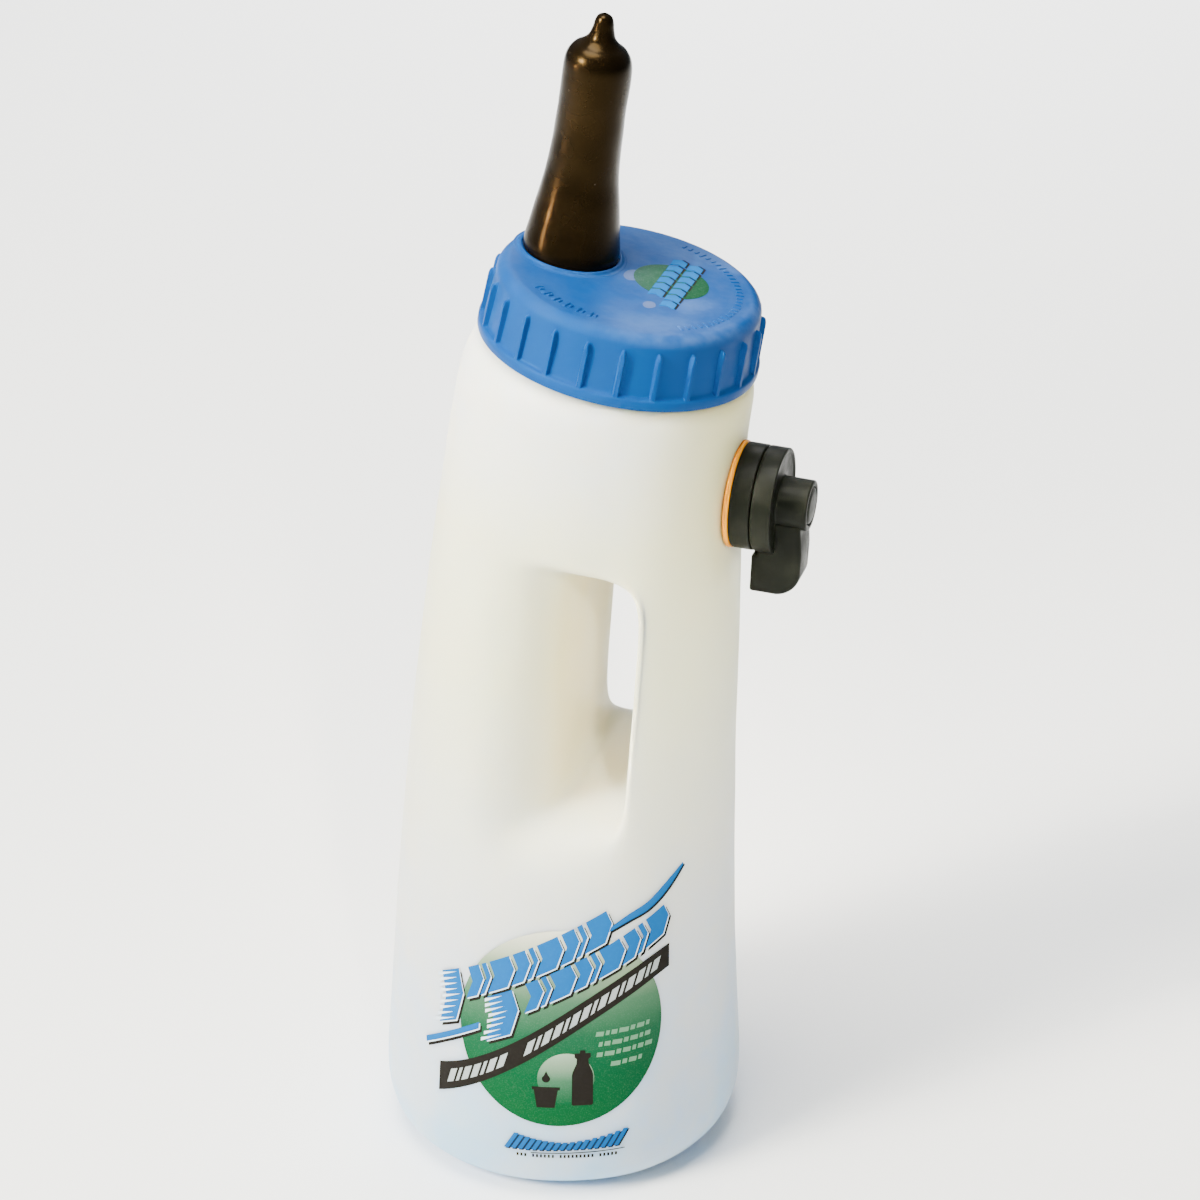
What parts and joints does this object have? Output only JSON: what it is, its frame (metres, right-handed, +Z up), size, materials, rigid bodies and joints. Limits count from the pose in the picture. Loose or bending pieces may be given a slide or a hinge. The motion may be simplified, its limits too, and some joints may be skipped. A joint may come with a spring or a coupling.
{
  "type": "calf feeding bottle",
  "caption": "Wide-necked calf feeding bottle with a see-through integral handle, ribbed screw cap, rubber teat and a rotary air valve on the back.",
  "frame": {"origin": "middle of the flat standing face under the bottle", "axes": "+Z up along the bottle, +X towards the handle and the air valve, -Y towards the printed front"},
  "size_m": [0.1763, 0.148, 0.4804],
  "materials": {
    "natural_polyethylene": "milky translucent, satin, blow moulded",
    "printed_film": "printed label, satin",
    "blue_polypropylene": "satin, injection moulded",
    "black_rubber": "soft satin, worn",
    "black_nylon": "fine matt, injection moulded",
    "yellow_rubber": "satin",
    "white_silicone": "satin",
    "stainless_steel": "bright"
  },
  "bodies": {
    "bottle": {"bottle_body": "natural_polyethylene", "front_label": "printed_film", "valve_body": "black_nylon", "valve_gasket": "yellow_rubber", "inner_washer": "black_rubber", "valve_backnut": "black_nylon", "spring_washer": "stainless_steel", "knob_screw": "stainless_steel", "flap_seat": "black_nylon", "check_flap": "white_silicone"},
    "cap_lift_stage": {"cap_gasket": "white_silicone"},
    "cap": {"screw_cap": "blue_polypropylene", "cap_label": "printed_film", "teat": "black_rubber"},
    "knob": {"valve_knob": "black_nylon", "hub_cap": "black_nylon", "metering_disc": "white_silicone"}
  },
  "joints": [
    {"name": "cap_lift", "type": "slide", "parent": "bottle", "child": "cap_lift_stage", "axis": [0.1882, 0, 0.9821], "range_m": [0, 0.011]},
    {"name": "cap_turn", "type": "hinge", "parent": "cap_lift_stage", "child": "cap", "pos_m": [0.0237, 0, 0.352], "axis": [0.1882, 0, 0.9821], "range_deg": [0, 630]},
    {"name": "valve_turn", "type": "hinge", "parent": "bottle", "child": "knob", "pos_m": [0.0737, 0, 0.2957], "axis": [0.999, 0, -0.0454], "range_deg": [-60, 60]}
  ],
  "couplings": [
    {"joint": "cap_lift", "follows": "cap_turn", "m_per_rad": 0.00095493}
  ]
}
